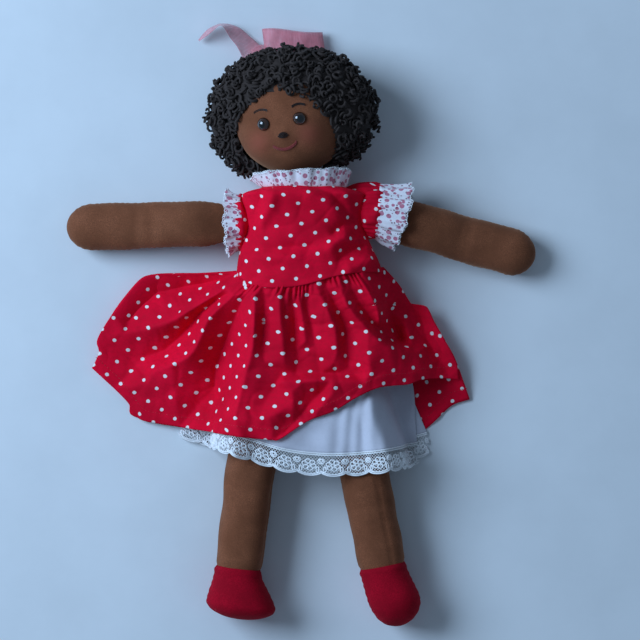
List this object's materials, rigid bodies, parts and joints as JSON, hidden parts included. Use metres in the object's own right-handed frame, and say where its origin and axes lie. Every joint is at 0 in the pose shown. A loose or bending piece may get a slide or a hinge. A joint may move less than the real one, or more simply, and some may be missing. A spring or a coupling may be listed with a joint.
{
  "type": "cloth doll",
  "caption": "Stuffed cloth doll lying on its back in a red spotted dress with frills and a lace petticoat; the head tilts, the arms swing and the body folds at the hips.",
  "frame": {"origin": "on the flat face of the bodice's back where it lies on the table, in the middle of the body", "axes": "+Y towards the head, +Z out of the doll's front, +X towards the doll's left"},
  "size_m": [0.3265, 0.4173, 0.0735],
  "materials": {
    "plush": "short-pile velveteen, matt",
    "filling": "polyester fibre",
    "dress": "cotton print, white spots on red",
    "frill": "cotton print, small flowers on white, cut edge",
    "petticoat": "thin cotton lawn",
    "lace": "cotton lace",
    "felt": "wool felt",
    "yarn": "looped yarn",
    "ribbon": "sheer organza",
    "eye": "glossy",
    "washer": "moulded",
    "stud": "nickel-plated"
  },
  "bodies": {
    "torso": {"torso_skin": "plush", "torso_filling": "filling", "bodice_front": "dress", "bodice_back_left": "dress", "bodice_back_right": "dress", "neck_frill": "frill", "press_stud_top_socket": "stud", "press_stud_top_ball": "stud", "press_stud_middle_socket": "stud", "press_stud_middle_ball": "stud", "press_stud_bottom_socket": "stud", "press_stud_bottom_ball": "stud"},
    "head": {"head_skin": "plush", "head_filling": "filling", "hair": "yarn", "eye_left": "eye", "eye_right": "eye", "eye_washer_left": "washer", "eye_washer_right": "washer", "ribbon_knot": "ribbon", "ribbon_loop": "ribbon", "ribbon_tail": "ribbon"},
    "skirt": {"skirt_front": "dress", "skirt_back": "dress", "petticoat_front": "petticoat", "petticoat_back": "petticoat", "petticoat_lace_front": "lace", "petticoat_lace_back": "lace"},
    "arm_left": {"arm_left_skin": "plush", "arm_left_filling": "filling", "sleeve_left": "dress", "sleeve_frill_left": "frill"},
    "leg_left": {"leg_left_skin": "plush", "leg_left_filling": "filling", "shoe_left": "felt", "shoe_left_filling": "filling"},
    "arm_right": {"arm_right_skin": "plush", "arm_right_filling": "filling", "sleeve_right": "dress", "sleeve_frill_right": "frill"},
    "leg_right": {"leg_right_skin": "plush", "leg_right_filling": "filling", "shoe_right": "felt", "shoe_right_filling": "filling"}
  },
  "joints": [
    {"name": "neck_tilt", "type": "hinge", "parent": "torso", "child": "head", "pos_m": [0, 0.031, 0.038], "axis": [0, 0, 1], "range_deg": [-20, 12], "deforming": ["neck_frill"]},
    {"name": "shoulder_left_swing", "type": "hinge", "parent": "torso", "child": "arm_left", "pos_m": [0.0423, 0.016, 0.028], "axis": [0, -1, 0], "range_deg": [-30, 80], "deforming": ["sleeve_left", "sleeve_frill_left"]},
    {"name": "shoulder_right_swing", "type": "hinge", "parent": "torso", "child": "arm_right", "pos_m": [-0.0423, 0.008, 0.028], "axis": [0, 1, 0], "range_deg": [-30, 80], "deforming": ["sleeve_right", "sleeve_frill_right"]},
    {"name": "seat_fold", "type": "hinge", "parent": "torso", "child": "skirt", "pos_m": [0, -0.0819, 0.027], "axis": [-1, 0, 0], "range_deg": [-15, 85], "deforming": ["skirt_front", "skirt_back", "petticoat_front", "petticoat_back", "petticoat_lace_front", "petticoat_lace_back"]},
    {"name": "leg_left_spread", "type": "hinge", "parent": "skirt", "child": "leg_left", "pos_m": [0.029, -0.0988, 0.025], "axis": [0, 0, 1], "range_deg": [-6, 10]},
    {"name": "leg_right_spread", "type": "hinge", "parent": "skirt", "child": "leg_right", "pos_m": [-0.029, -0.0988, 0.025], "axis": [0, 0, -1], "range_deg": [-6, 10]}
  ]
}
